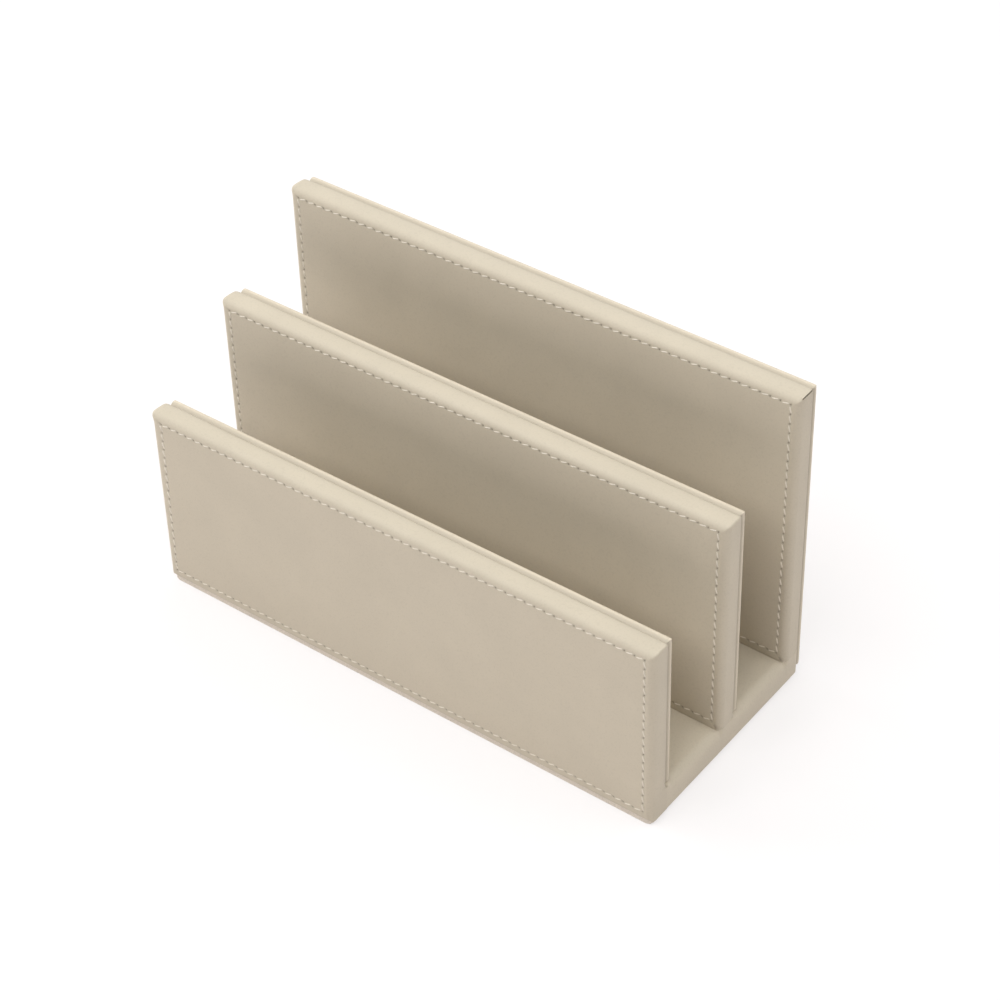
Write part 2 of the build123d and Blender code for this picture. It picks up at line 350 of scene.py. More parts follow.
class Seam:
    """Where one divider's topstitching runs, and what it does to the leather."""

    def __init__(self, name, settings):
        low, high = SEAM_BOX[name]
        half = settings.bar / 2
        self.settings = settings
        self.rect = drawn_in((low.x, high.x, low.z, high.z), half)
        left, right, foot, top = self.rect
        self.level = round((right - left) / settings.pitch)
        self.upright = round((top - foot) / settings.pitch)

    def distance(self, x, z):
        """Distance of points from the seam's rectangle, negative inside it."""
        left, right, foot, top = self.rect
        over_x = np.abs(x - (left + right) / 2) - (right - left) / 2
        over_z = np.abs(z - (foot + top) / 2) - (top - foot) / 2
        outside = np.hypot(np.maximum(over_x, 0), np.maximum(over_z, 0))
        return outside + np.minimum(np.maximum(over_x, over_z), 0)

    def from_hole(self, x, z):
        """Distance of points from the nearest needle hole."""
        left, right, foot, top = self.rect
        step_x = (right - left) / self.level
        step_z = (top - foot) / self.upright
        hole_x = left + np.clip(np.round((x - left) / step_x), 0, self.level) * step_x
        hole_z = foot + np.clip(np.round((z - foot) / step_z), 0, self.upright) * step_z
        on_rows = np.minimum(np.hypot(x - hole_x, z - foot), np.hypot(x - hole_x, z - top))
        on_columns = np.minimum(np.hypot(x - left, z - hole_z), np.hypot(x - right, z - hole_z))
        return np.minimum(on_rows, on_columns)

    def marks(self, x, z):
        """Strength of the groove and of the needle holes at points."""
        settings = self.settings
        groove = np.exp(-((self.distance(x, z) / settings.groove_width) ** 2))
        needle = np.exp(-((self.from_hole(x, z) / settings.hole_radius) ** 2))
        return groove, needle

    def depth(self, x, z):
        """How far behind the front plane the leather lies at points."""
        settings = self.settings
        groove, needle = self.marks(x, z)
        inside = -self.distance(x, z) / settings.puff_width
        swelling = np.where(inside > 0, inside * np.exp(1 - inside), 0)
        sunk = settings.puff * (1 - swelling)
        return sunk + (settings.groove - settings.puff) * groove + settings.hole * needle


# Covers of the dividers

INSIDE_SEAM = [d * MM for d in (12.0, 7.5, 4.8, 3.2, 2.3, 1.7, 1.25, 0.9, 0.6, 0.3, 0.0)]
BEYOND_SEAM = [0.2, 0.4, 0.6, 0.8, 1.0]
ROLL_STEPS = 8
TOP_STEPS = 4
BACK_STEPS = 7
INNER_STEPS = 4
CENTRE_INSET = 4.0 * MM
LEDGE_GAP = 0.01 * MM
LEAST_RADIUS = 0.001 * MM

# Painted shade, drawn as darker leather: how dark it gets in a gaping mitre, along the seam's groove and in
# the slit beside a lining
GAPE_SHADE = 0.7
GAPE_START = (0.9, 1.0)
GROOVE_SHADE = 0.05
SLIT_SHADE = 0.55
SLIT_SHADE_START = 0.12
SLIT_SHADE_CURVE = 6

# How far from an edge or corner its rolls, leans and roundings are felt
PRESS_REACH = 10.0 * MM
LEFT_REACH = 6.0 * MM
SOFT_REACH = 3.5 * MM
FOOT_BAND = (-0.5 * MM, 0.7 * MM)
HOUSED_CORNER = 0.05 * MM
LEAN_ROLL = 2.6 * MM
LEAN_SEAM = 4.0 * MM
LEAN_REACH = 70.0 * MM
LEAN_EDGE = 0.37
LEAN_CORNER = 0.8
LEAN_CORNER_BAND = (5.0 * MM, 0.5 * MM)


def pressed_in(place_at, low, high, inset):
    """Places moved inwards from both limits, fully at a limit and less and less towards the reach."""
    middle = (low + high) / 2
    from_limit = (high - low) / 2 - np.abs(place_at - middle)
    return place_at - np.sign(place_at - middle) * inset * np.clip(1 - from_limit / PRESS_REACH, 0, 1)


def leaned(name, x, z, folds):
    """Places along X on a divider, whose left seam leans inwards towards the top, and its edge a little."""
    low, high = COVER_BOX[name]
    most = {"front": folds.front_lean, "middle": folds.middle_lean, "rear": folds.rear_lean}[name]
    up = (z - low.z) / (high.z - low.z)
    from_left = x - low.x
    far, near = LEAN_CORNER_BAND
    at_edge = LEAN_EDGE * (1 - LEAN_CORNER * smooth_step(high.z - far, high.z - near, z))
    onto_face = np.clip((from_left - LEAN_ROLL) / (LEAN_SEAM - LEAN_ROLL), 0, 1)
    fading = np.clip((LEAN_REACH - from_left) / (LEAN_REACH - LEAN_SEAM), 0, 1)
    return x + most * up * (at_edge + (1 - at_edge) * onto_face) * fading


def divider_cover(name, settings, material):
    """Leather folded round one divider: seamed front, rolled edges, mitred corners, turned-in border."""
    folds = settings.folds
    seam = Seam(name, settings.seam)
    low, high = COVER_BOX[name]
    outline = (low.x, high.x, low.z, high.z)
    front, back = low.y, high.y
    shares = loop_shares(seam.level * settings.seam.samples, seam.upright * settings.seam.samples)
    corner_of_loop = shares[1] == 0
    edge_x, edge_z = around(outline, shares)
    housed = (edge_z < BASE_TOP) & (name != "front")
    corner = np.where(edge_x < 0, folds.soft_corner, folds.corner)
    corner = np.where(housed, HOUSED_CORNER, corner)
    gaping = (edge_x > 0) & (name == "rear")
    mitre = np.where(gaping, folds.open_mitre, np.where(edge_x > 0, folds.mitre, 0.0))
    # Point marks for painted shade: needle for needle holes and a gaping mitre, crease for the seam's groove
    # and the slit
    shell = Shell(("needle", "crease"))
    loops = []
    ledge = housed & ~(np.roll(housed, 1) & np.roll(housed, -1))
    above_ledge = ~housed & (np.roll(housed, 1) | np.roll(housed, -1))

    def footed(x, z):
        """Points with a housed foot drawn in behind the base's end leather, under a ledge."""
        x = np.where(housed, np.clip(x, low.x + folds.foot_inset, high.x - folds.foot_inset), x)
        z = np.where(ledge, BASE_TOP + LEDGE_GAP, np.where(above_ledge, BASE_TOP + 2 * LEDGE_GAP, z))
        return x, z

    def outside(x, depth, z, **marks):
        return shell.add(leaned(name, x, z, folds), depth, z, **marks)

    def on_front(x, z):
        # The seam's groove gets a little painted shade through the crease mark
        groove, needle = seam.marks(x, z)
        return outside(x, front + seam.depth(x, z), z, needle=needle, crease=GROOVE_SHADE * groove)

    seam_inset = (seam.rect[0] - outline[0], seam.rect[2] - outline[2], outline[3] - seam.rect[3])
    for distance in INSIDE_SEAM:
        loops.append(on_front(*around(drawn_in(seam.rect, distance), shares)))
    for part in BEYOND_SEAM:
        insets = [inset + (folds.roll - inset) * part for inset in seam_inset]
        loops.append(on_front(*around(drawn_in(outline, *insets), shares)))

    for turn in quarter(ROLL_STEPS):
        inset = folds.roll * (1 - math.sin(turn))
        rect = drawn_in(outline, inset)
        x, z = around(rect, shares)
        sunk = seam.depth(x, z) * math.cos(turn)
        x, z = footed(*rounded(x, z, rect, corner * math.sin(turn) + LEAST_RADIUS))
        gape = np.where(corner_of_loop & gaping, mitre * smooth_step(*GAPE_START, math.sin(turn)), 0.0)
        x = x - np.sign(x) * gape
        z = z - np.sign(z - (low.z + high.z) / 2) * gape
        # Painted shade in the seam's groove, as on the front
        groove, needle = seam.marks(x, z)
        depth = front + folds.roll * (1 - math.cos(turn)) + sunk
        loops.append(outside(x, depth, z, needle=needle, crease=GROOVE_SHADE * groove))

    above_base = smooth_step(BASE_TOP + FOOT_BAND[0], BASE_TOP + FOOT_BAND[1], edge_z)
    rolled_foot = low.z
    if name == "rear":
        # Nothing covers the rear divider's ends at the back, so they roll in down to the foot
        above_base = np.ones_like(edge_z)
        rolled_foot = low.z - 2 * PRESS_REACH

    def on_edge(inset, depth, gape, crease=0.0):
        """Loop on the tops and ends, where the corners carry a mitre crease."""
        x, z = rounded(*around(outline, shares), outline, corner)
        gape = np.where(corner_of_loop, gape, 0.0)
        x = pressed_in(x, low.x, high.x, inset) - np.sign(x) * gape
        z = pressed_in(z, rolled_foot, high.z, inset) - np.sign(z - (low.z + high.z) / 2) * gape
        x, z = footed(x, z)
        # Painted shade in the rear divider's gaping mitre, carried by the needle-hole mark
        needle = np.where(corner_of_loop & gaping, GAPE_SHADE, 0.0)
        return outside(x, depth, z, crease=crease, needle=needle)

    back_roll = folds.foot_roll + (folds.back_roll - folds.foot_roll) * above_base
    on_left = smooth_step(outline[0] + LEFT_REACH, outline[0], edge_x)
    back_roll = np.minimum(back_roll, folds.back_roll + (folds.left_back - folds.back_roll) * on_left)
    from_corner = np.hypot(edge_x - outline[0], edge_z - outline[3]) / SOFT_REACH
    back_roll = back_roll + folds.soft_back * np.exp(-(from_corner ** 2))
    crown = folds.crown * above_base
    # Painted shade in the slit beside the lining: it starts on the top's last part and deepens down the back
    # roll
    for step in range(1, TOP_STEPS + 1):
        part = step / TOP_STEPS
        depth = front + folds.roll + (back - back_roll - front - folds.roll) * part
        shade = SLIT_SHADE_START * part ** SLIT_SHADE_CURVE
        loops.append(on_edge(crown * part ** 2, depth, mitre, shade * above_base))
    for turn in quarter(BACK_STEPS):
        inset = crown + back_roll * (1 - math.cos(turn))
        depth = back - back_roll * (1 - math.sin(turn))
        shade = SLIT_SHADE_START + (SLIT_SHADE - SLIT_SHADE_START) * math.sin(turn)
        loops.append(on_edge(inset, depth, mitre * math.cos(turn), shade * above_base))

    def plain(inset, depth):
        x, z = around(drawn_in(outline, inset), shares)
        return shell.add(x, depth, z)

    loops.append(plain(folds.turn_in, back))
    loops.append(plain(folds.turn_in, back - LEATHER))
    loops.append(plain(LEATHER, back - LEATHER))
    inner_roll = folds.roll - LEATHER
    for turn in reversed([0.0, *quarter(INNER_STEPS)]):
        inset = LEATHER + inner_roll * (1 - math.sin(turn))
        loops.append(plain(inset, front + LEATHER + inner_roll * (1 - math.cos(turn))))
    shell.join(loops)

    x, z = grid_on(drawn_in(seam.rect, INSIDE_SEAM[0] + CENTRE_INSET), seam.level, seam.upright)
    shell.cap(loops[0], seam.level, seam.upright, on_front(x, z))
    x, z = grid_on(drawn_in(outline, folds.roll + CENTRE_INSET), seam.level, seam.upright)
    shell.cap(loops[-1], seam.level, seam.upright, shell.add(x, front + LEATHER, z))
    piece = shell.piece(f"{name}_leather_cover", material)
    seat(piece, "leather", f"{name}_cover")


# Stitches, laid by a node tree


def place(tree, kind, inputs=None, **settings):
    """Adds a node with its settings and inputs, which are values or other nodes' sockets."""
    made = tree.nodes.new(kind)
    for name, value in settings.items():
        setattr(made, name, value)
    for key, value in (inputs or {}).items():
        if isinstance(value, bpy.types.NodeSocket):
            tree.links.new(value, made.inputs[key])
        else:
            made.inputs[key].default_value = value
    return made


def math_node(tree, operation, *values):
    """Result of a calculation on values or sockets."""
    return place(tree, "ShaderNodeMath", dict(enumerate(values)), operation=operation).outputs[0]


def vector(tree, x=0.0, y=0.0, z=0.0):
    """Vector put together from values or sockets."""
    return place(tree, "ShaderNodeCombineXYZ", {0: x, 1: y, 2: z}).outputs[0]


STITCH_STEPS = 7
STITCH_SIDES = 6
STITCH_SINK = 0.4
STITCH_INPUTS = (
    ("Seam Width", "NodeSocketFloat"),
    ("Seam Low", "NodeSocketFloat"),
    ("Seam High", "NodeSocketFloat"),
    ("Bed", "NodeSocketFloat"),
    ("Level Count", "NodeSocketInt"),
    ("Upright Count", "NodeSocketInt"),
    ("Thread", "NodeSocketFloat"),
    ("Stitch Length", "NodeSocketFloat"),
    ("Sink", "NodeSocketFloat"),
    ("Slant", "NodeSocketFloat"),
    ("Wobble", "NodeSocketFloat"),
    ("Seed", "NodeSocketInt"),
    ("Material", "NodeSocketMaterial"),
)


def stitch_tree():
    """Node tree that lays stitches round a rectangle in an upright plane."""
    tree = bpy.data.node_groups.new("Stitched Seam", "GeometryNodeTree")
    tree.is_modifier = True
    tree.interface.new_socket("Geometry", in_out="OUTPUT", socket_type="NodeSocketGeometry")
    for name, kind in STITCH_INPUTS:
        tree.interface.new_socket(name, in_out="INPUT", socket_type=kind)
    given = tree.nodes.new("NodeGroupInput").outputs

    half_length = math_node(tree, "MULTIPLY", given["Stitch Length"], 0.5)
    start = vector(tree, math_node(tree, "MULTIPLY", half_length, -1.0), given["Sink"])
    end = vector(tree, half_length, given["Sink"])
    rise = vector(tree, y=math_node(tree, "MULTIPLY", given["Sink"], -1.0))
    line = place(
        tree,
        "GeometryNodeCurveQuadraticBezier",
        {"Resolution": STITCH_STEPS, "Start": start, "Middle": rise, "End": end},
    )
    spline_share = tree.nodes.new("GeometryNodeSplineParameter").outputs[0]
    along = place(
        tree,
        "GeometryNodeStoreNamedAttribute",
        {"Geometry": line.outputs[0], "Name": "along", "Value": spline_share},
        data_type="FLOAT",
        domain="POINT",
    )
    ring = place(
        tree,
        "GeometryNodeCurvePrimitiveCircle",
        {"Resolution": STITCH_SIDES, "Radius": math_node(tree, "MULTIPLY", given["Thread"], 0.5)},
    )
    turned = place(
        tree,
        "ShaderNodeVectorMath",
        {0: tree.nodes.new("GeometryNodeInputPosition").outputs[0]},
        operation="NORMALIZE",
    )
    profile = place(
        tree,
        "GeometryNodeStoreNamedAttribute",
        {"Geometry": ring.outputs[0], "Name": "round", "Value": turned.outputs[0]},
        data_type="FLOAT_VECTOR",
        domain="POINT",
    )
    stitch = place(
        tree,
        "GeometryNodeCurveToMesh",
        {"Curve": along.outputs[0], "Profile Curve": profile.outputs[0], "Fill Caps": True},
    )

    half_width = math_node(tree, "MULTIPLY", given["Seam Width"], 0.5)
    minus_half = math_node(tree, "MULTIPLY", half_width, -1.0)
    height = math_node(tree, "SUBTRACT", given["Seam High"], given["Seam Low"])
    step_x = math_node(tree, "DIVIDE", given["Seam Width"], given["Level Count"])
    step_z = math_node(tree, "DIVIDE", height, given["Upright Count"])
    first_x = math_node(tree, "MULTIPLY_ADD", step_x, 0.5, minus_half)
    first_z = math_node(tree, "MULTIPLY_ADD", step_z, 0.5, given["Seam Low"])
    level_step = vector(tree, x=step_x)
    upright_step = vector(tree, z=step_z)
    rows = (
        (first_x, given["Seam Low"], given["Level Count"], level_step, 0.0),
        (first_x, given["Seam High"], given["Level Count"], level_step, 0.0),
        (minus_half, first_z, given["Upright Count"], upright_step, math.pi / 2),
        (half_width, first_z, given["Upright Count"], upright_step, math.pi / 2),
    )
    joined = tree.nodes.new("GeometryNodeJoinGeometry")
    for number, (x, z, count, step, turn) in enumerate(rows):
        origin = vector(tree, x, given["Bed"], z)
        places = place(
            tree, "GeometryNodeMeshLine", {"Count": count, "Start Location": origin, "Offset": step}
        )
        uneven = place(
            tree,
            "FunctionNodeRandomValue",
            {
                2: math_node(tree, "MULTIPLY", given["Wobble"], -1.0),
                3: given["Wobble"],
                "Seed": math_node(tree, "ADD", given["Seed"], float(number)),
            },
            data_type="FLOAT",
        )
        lean = math_node(tree, "ADD", math_node(tree, "ADD", given["Slant"], turn), uneven.outputs[1])
        rotation = vector(tree, y=lean)
        laid = place(
            tree,
            "GeometryNodeInstanceOnPoints",
            {"Points": places.outputs[0], "Instance": stitch.outputs[0], "Rotation": rotation},
        )
        tree.links.new(laid.outputs[0], joined.inputs[0])
    real = place(tree, "GeometryNodeRealizeInstances", {"Geometry": joined.outputs[0]})
    smooth = place(tree, "GeometryNodeSetShadeSmooth", {"Geometry": real.outputs[0]})
    threaded = place(
        tree, "GeometryNodeSetMaterial", {"Geometry": smooth.outputs[0], "Material": given["Material"]}
    )
    place(tree, "NodeGroupOutput", {0: threaded.outputs[0]})
    return tree


def divider_stitching(name, settings, tree, material):
    """Stitches round one divider's front, as a plain mesh."""
    sizes = settings.seam
    seam = Seam(name, sizes)
    left, right, foot, top = seam.rect
    front = COVER_BOX[name][0].y
    values = {
        "Seam Width": right - left,
        "Seam Low": foot,
        "Seam High": top,
        "Bed": front + sizes.thread / 2 - sizes.proud,
        "Level Count": seam.level,
        "Upright Count": seam.upright,
        "Thread": sizes.thread,
        "Stitch Length": sizes.pitch - sizes.gap,
        "Sink": sizes.thread * STITCH_SINK,
        "Slant": sizes.slant,
        "Wobble": sizes.wobble,
        "Seed": sizes.seed,
        "Material": material,
    }
    maker = bpy.data.objects.new(f"{name}_seam_maker", bpy.data.meshes.new(f"{name}_seam_maker"))
    bpy.context.scene.collection.objects.link(maker)
    modifier = maker.modifiers.new("Stitches", "NODES")
    modifier.node_group = tree
    for socket in tree.interface.items_tree:
        if socket.in_out == "INPUT":
            modifier[socket.identifier] = values[socket.name]
    maker.update_tag()
    graph = bpy.context.evaluated_depsgraph_get()
    mesh = bpy.data.meshes.new_from_object(maker.evaluated_get(graph), depsgraph=graph)
    bpy.data.objects.remove(maker)
    points = np.empty(3 * len(mesh.vertices))
    mesh.vertices.foreach_get("co", points)
    points[::3] = leaned(name, points[::3], points[2::3], settings.folds)
    mesh.vertices.foreach_set("co", points)
    mesh.name = f"{name}_thread"
    piece = bpy.data.objects.new(f"{name}_thread", mesh)
    bpy.context.scene.collection.objects.link(piece)
    seat(piece, "thread", f"{name}_stitching")


# Linings, foam and underside

PANEL_STEP = 2.0 * MM
FOLD_STEPS = 6
SLOPE_STEPS = 8
SLOPE_BEND = 1.3
SLOPE_SHADE_FADE = 3.0
LINING_SHADE = 0.97
LEAST_ROUND = 0.1 * MM


def insert_depth(points, depth):
    """Points of an upright panel at one depth."""
    return points[0], depth, points[1]


def loop_counts(rect, step=PANEL_STEP):
    """How many points a loop has along and up a rectangle."""
    return round((rect[1] - rect[0]) / step), round((rect[3] - rect[2]) / step)


def lining_cover(name, settings, material):
    """Leather of one lining: folded round its card, open towards the divider."""
    folds = settings.folds
    low, high = LINING_BOX[name]
    outline = (low.x, high.x, low.z, high.z)
    front, back = low.y, high.y
    card_back = back - LINING_LEATHER
    level, upright = loop_counts(outline)
    shares = loop_shares(level, upright)
    shell = Shell(("needle", "crease"))
    on_base = name != "rear"

    def loop(inset, depth, crease=0.0, left_inset=None):
        left, right, foot, top = drawn_in(outline, inset, 0.0 if on_base else inset, inset)
        rect = (left if left_inset is None else outline[0] + left_inset, right, foot, top)
        x, z = around(rect, shares)
        x, z = rounded(x, z, rect, max(folds.lining_corner - inset, LEAST_ROUND))
        return shell.add(x, depth, z, crease=crease)

    def inner_loop(depth):
        return shell.add(*insert_depth(around(drawn_in(outline, LINING_LEATHER), shares), depth))

    loops = [inner_loop(card_back), inner_loop(front)]
    for part in np.linspace(0.0, 1.0, SLOPE_STEPS + 1):
        fall = (1 - part) ** SLOPE_BEND
        depth = front + folds.lining_slope * part
        # Painted shade on the lining's slope: darkest at the slit and gone at the crest
        shade = LINING_SHADE * (1 - part ** SLOPE_SHADE_FADE)
        loops.append(loop(folds.lining_drop * fall, depth, shade, folds.left_drop * fall))
    for turn in quarter(FOLD_STEPS):
        inset = folds.lining_fold * (1 - math.cos(turn))
        loops.append(loop(inset, back - folds.lining_fold * (1 - math.sin(turn))))
    shell.join(loops)
    x, z = grid_on(drawn_in(outline, LINING_LEATHER + CENTRE_INSET), level, upright)
    shell.cap(loops[0], level, upright, shell.add(x, card_back, z))
    x, z = grid_on(drawn_in(outline, folds.lining_fold + CENTRE_INSET), level, upright)
    shell.cap(loops[-1], level, upright, shell.add(x, back, z))
    piece = shell.piece(f"{name}_lining_leather", material)
    seat(piece, "lining_leather", f"{name}_lining_cover")


FOAM_CLEARANCE = 0.04 * MM
FOAM_CHANNEL = 0.25 * MM
FOAM_ROUND = 0.98


def foam_sheet(name, settings, material):
    """Foam sheet under the stitched leather, rounded at its edges and pressed in along the seam."""
    low, high = FOAM_BOX[name]
    outline = drawn_in((low.x, high.x, low.z, high.z), FOAM_CLEARANCE)
    front, back = low.y + FOAM_CLEARANCE, high.y
    radius = (back - front) * FOAM_ROUND
    seam = Seam(name, settings.seam)
    level, upright = loop_counts(outline)
    shares = loop_shares(level, upright)
    shell = Shell()

    def pressed(x, z):
        groove, _ = seam.marks(x, z)
        return shell.add(x, front + FOAM_CHANNEL * groove, z)

    loops = []
    for distance in INSIDE_SEAM[1::2]:
        loops.append(pressed(*around(drawn_in(seam.rect, distance), shares)))
    loops.append(pressed(*around(seam.rect, shares)))
    for turn in [0.0, *quarter(FOLD_STEPS)]:
        x, z = around(drawn_in(outline, radius * (1 - math.sin(turn))), shares)
        loops.append(shell.add(x, front + radius * (1 - math.cos(turn)), z))
    loops.append(shell.add(*insert_depth(around(outline, shares), back)))
    shell.join(loops)
    x, z = grid_on(drawn_in(seam.rect, INSIDE_SEAM[1] + CENTRE_INSET), level, upright)
    shell.cap(loops[0], level, upright, shell.add(x, front, z))
    x, z = grid_on(drawn_in(outline, CENTRE_INSET), level, upright)
    shell.cap(loops[-1], level, upright, shell.add(x, back, z))
    piece = shell.piece(f"{name}_foam_sheet", material)
    seat(piece, "foam", f"{name}_foam")


RIM_GAP = 0.04 * MM


def underside_felt(settings, material):
    """Soft covering of the underside panel, folded up round its card and under the front divider's roll."""
    folds = settings.folds
    low, high = FELT_BOX
    card_low, _ = UNDERSIDE_CARD_BOX
    outline = (low.x, high.x, low.y, high.y)
    thickness = card_low.x - low.x
    level, upright = loop_counts(outline)
    shares = loop_shares(level, upright)
    shell = Shell()

    def loop(inset, height, rim=False):
        rect = drawn_in(outline, inset)
        x, y = around(rect, shares)
        x, y = rounded(x, y, rect, folds.felt_corner)
        under = folds.roll - np.clip(y - COVER_BOX["front"][0].y, 0, folds.roll)
        room = folds.roll - np.sqrt(folds.roll ** 2 - under ** 2)
        rise = np.maximum(room - RIM_GAP, 0) if rim else 0.0
        return shell.add(x, y, height + rise)

    loops = []
    for turn in [0.0, *quarter(FOLD_STEPS)]:
        inset = folds.felt_fold * (1 - math.sin(turn))
        loops.append(loop(inset, low.z + folds.felt_fold * (1 - math.cos(turn))))
    loops.append(loop(0.0, high.z, rim=True))
    loops.append(loop(thickness, high.z))
    loops.append(loop(thickness, card_low.z))
    shell.join(loops)
    x, y = grid_on(drawn_in(outline, folds.felt_fold + CENTRE_INSET), level, upright)
    shell.cap(loops[0], level, upright, shell.add(x, y, low.z))
    x, y = grid_on(drawn_in(outline, thickness + CENTRE_INSET), level, upright)
    shell.cap(loops[-1], level, upright, shell.add(x, y, card_low.z))
    piece = shell.piece("underside_covering", material)
    seat(piece, "felt", "underside_felt")


# Base cover

BASE_STATION = 0.8 * MM
SQUARE_EDGE = 0.06 * MM
DIP_WIDTH = 1.2 * MM
DIP_STATIONS = [d * MM for d in (-2.4, -1.6, -1.0, -0.6, -0.3, 0.0, 0.3, 0.6, 1.0, 1.6, 2.4)]
CUT_MARGIN = 2.0 * MM
HOUSING_STEP = 4.0 * MM
HOUSING_RISE = 3


def section(half_width, low, high, roll, fold):
    """Closed outline of the base's cross-section: rounded above, folded below, anticlockwise from below."""
    right = []
    for turn in [0.0, *quarter(FOLD_STEPS)]:
        right.append((half_width - fold * (1 - math.sin(turn)), low + fold * (1 - math.cos(turn))))
    for turn in [0.0, *quarter(2 * FOLD_STEPS)]:
        right.append((half_width - roll * (1 - math.cos(turn)), high - roll * (1 - math.sin(turn))))
    left = [(-x, z) for x, z in reversed(right)]
    return np.array(right + left)


def swept(name, outline_at, stations):
    """Closed solid along Y, given its cross-section as a function of the place."""
    shell = Shell()
    loops = []
    for y in stations:
        outline = outline_at(y)
        loops.append(shell.add(outline[:, 0], y, outline[:, 1]))
    shell.join(loops)
    shell.close(loops)
    return shell.piece(name, None)


def housing_cutter(name, gap, roll, inset):
    """Room that a divider's foot takes in the base, a little larger than the foot."""
    low, high = COVER_BOX[name]
    top = BASE_TOP + HOUSING_RISE * roll
    outline = drawn_in((low.x, high.x, low.z, top), inset - gap, -gap, 0.0)
    level, upright = loop_counts(outline, HOUSING_STEP)
    shares = loop_shares(level, upright)
    shell = Shell()
    front = low.y - gap
    back = high.y + gap + (CUT_MARGIN if name == "rear" else 0.0)
    radius = roll + gap
    loops = []
    for turn in [0.0, *quarter(2 * FOLD_STEPS)]:
        x, z = around(drawn_in(outline, radius * (1 - math.sin(turn))), shares)
        loops.append(shell.add(x, front + radius * (1 - math.cos(turn)), z))
    loops.append(shell.add(*insert_depth(around(outline, shares), back)))
    shell.join(loops)
    shell.close(loops)
    return shell.piece(f"{name}_housing", None)


def cut(piece, *cutters):
    """Takes other solids out of a piece and removes them."""
    for cutter in cutters:
        modifier = piece.modifiers.new("Cut", "BOOLEAN")
        modifier.operation = "DIFFERENCE"
        modifier.solver = "EXACT"
        modifier.object = cutter
    graph = bpy.context.evaluated_depsgraph_get()
    mesh = bpy.data.meshes.new_from_object(piece.evaluated_get(graph), depsgraph=graph)
    for used in (piece, *cutters):
        bpy.data.objects.remove(used)
    return mesh


def base_cover(settings, material):
    """Leather over the base: slot floors, rounded ends, back edge and the border turned under."""
    folds = settings.folds
    low, high = BASE_BOX
    half_width = high.x
    dips = [COVER_BOX["middle"][0].y, COVER_BOX["rear"][0].y]
    dips += [LINING_BOX["front"][1].y, LINING_BOX["middle"][1].y]
    count = round((high.y - low.y) / BASE_STATION)
    stations = {low.y + (high.y - low.y) * i / count for i in range(count + 1)}
    stations |= {dip + d for dip in dips for d in DIP_STATIONS}
    stations |= {high.y - folds.back_roll * (1 - math.sin(turn)) for turn in quarter(BACK_STEPS)}
    stations = sorted(y for y in stations if low.y <= y <= high.y)

    def covered(y):
        """How far a divider's end runs on over the base's end at a place along Y."""
        most = 0.0
        for name in DIVIDERS:
            wrap_low, wrap_high = COVER_BOX[name]
            fade = wrap_high.y - (0.0 if name == "front" else folds.back_roll)
            start = smooth_step(wrap_low.y, wrap_low.y + folds.roll, y)
            end = smooth_step(fade, LINING_BOX[name][1].y, y)
            most = max(most, start * (1 - end))
        return most

    def tucked(y):
        """How far the base's ends turn in towards its back, like the ends of the rear divider above."""
        past = min(max((y - high.y + folds.back_roll) / folds.back_roll, 0.0), 1.0)
        return folds.crown * past + folds.back_roll * (1 - math.sqrt(1 - past ** 2))

    def outside_at(y):
        roll = SQUARE_EDGE + folds.base_roll * (1 - covered(y))
        outline = section(half_width - tucked(y), low.z, high.z, roll, folds.base_fold)
        nearness = max(math.exp(-(((y - dip) / DIP_WIDTH) ** 2)) for dip in dips)
        dip = folds.seam_dip * nearness * (1 - covered(y))
        outline[:, 1] -= dip * smooth_step(high.z - folds.base_roll, high.z, outline[:, 1])
        return outline

    core_roll = folds.base_roll - LEATHER
    core = section(half_width - LEATHER, low.z + LEATHER, high.z - LEATHER, core_roll, LEAST_ROUND)
    open_half = half_width - folds.turn_in
    opening = section(open_half, low.z - CUT_MARGIN, low.z + CUT_MARGIN, LEAST_ROUND, LEAST_ROUND)
    outside = swept("base_outside", outside_at, stations)
    start = low.y - CUT_MARGIN
    inside = swept("base_inside", lambda y: core, [start, high.y - LEATHER])
    open_below = swept("base_open_below", lambda y: opening, [start, high.y - folds.turn_in])
    sizes = (folds.housing_gap, folds.roll, folds.foot_inset)
    housings = [housing_cutter(name, *sizes) for name in ("middle", "rear")]
    mesh = cut(outside, inside, open_below, *housings)
    mesh.name = "base_leather_cover"
    piece = finished("base_leather_cover", mesh, material)
    seat(piece, "leather", "base_cover")


# Shader groups and materials


def shader_group(name, inputs, outputs):
    """Empty shader node group with named sockets; returns the tree, its inputs and its output node."""
    tree = bpy.data.node_groups.new(name, "ShaderNodeTree")
    for socket, kind, default in inputs:
        made = tree.interface.new_socket(socket, in_out="INPUT", socket_type=kind)
        if default is not None:
            made.default_value = default
    for socket, kind in outputs:
        tree.interface.new_socket(socket, in_out="OUTPUT", socket_type=kind)
    return tree, tree.nodes.new("NodeGroupInput").outputs, tree.nodes.new("NodeGroupOutput").inputs


def grouped(tree, name, build, where):
    """Node of a shared shader group, which is built on first use, at the given coordinates."""
    group = bpy.data.node_groups.get(name) or build(name)
    node = place(tree, "ShaderNodeGroup", node_tree=group)
    tree.links.new(where, node.inputs["Place"])
    return node


def noise(tree, where, scale, detail, roughness=0.5):
    """Outputs of a noise texture at the given coordinates."""
    values = {"Vector": where, "Scale": scale, "Detail": detail, "Roughness": roughness}
    return place(tree, "ShaderNodeTexNoise", values).outputs


def ranged(tree, value, to, given=(0.0, 1.0)):
    """Value carried over from a given range to another one."""
    limits = {"From Min": given[0], "From Max": given[1], "To Min": to[0], "To Max": to[1]}
    return place(tree, "ShaderNodeMapRange", {"Value": value, **limits}).outputs["Result"]


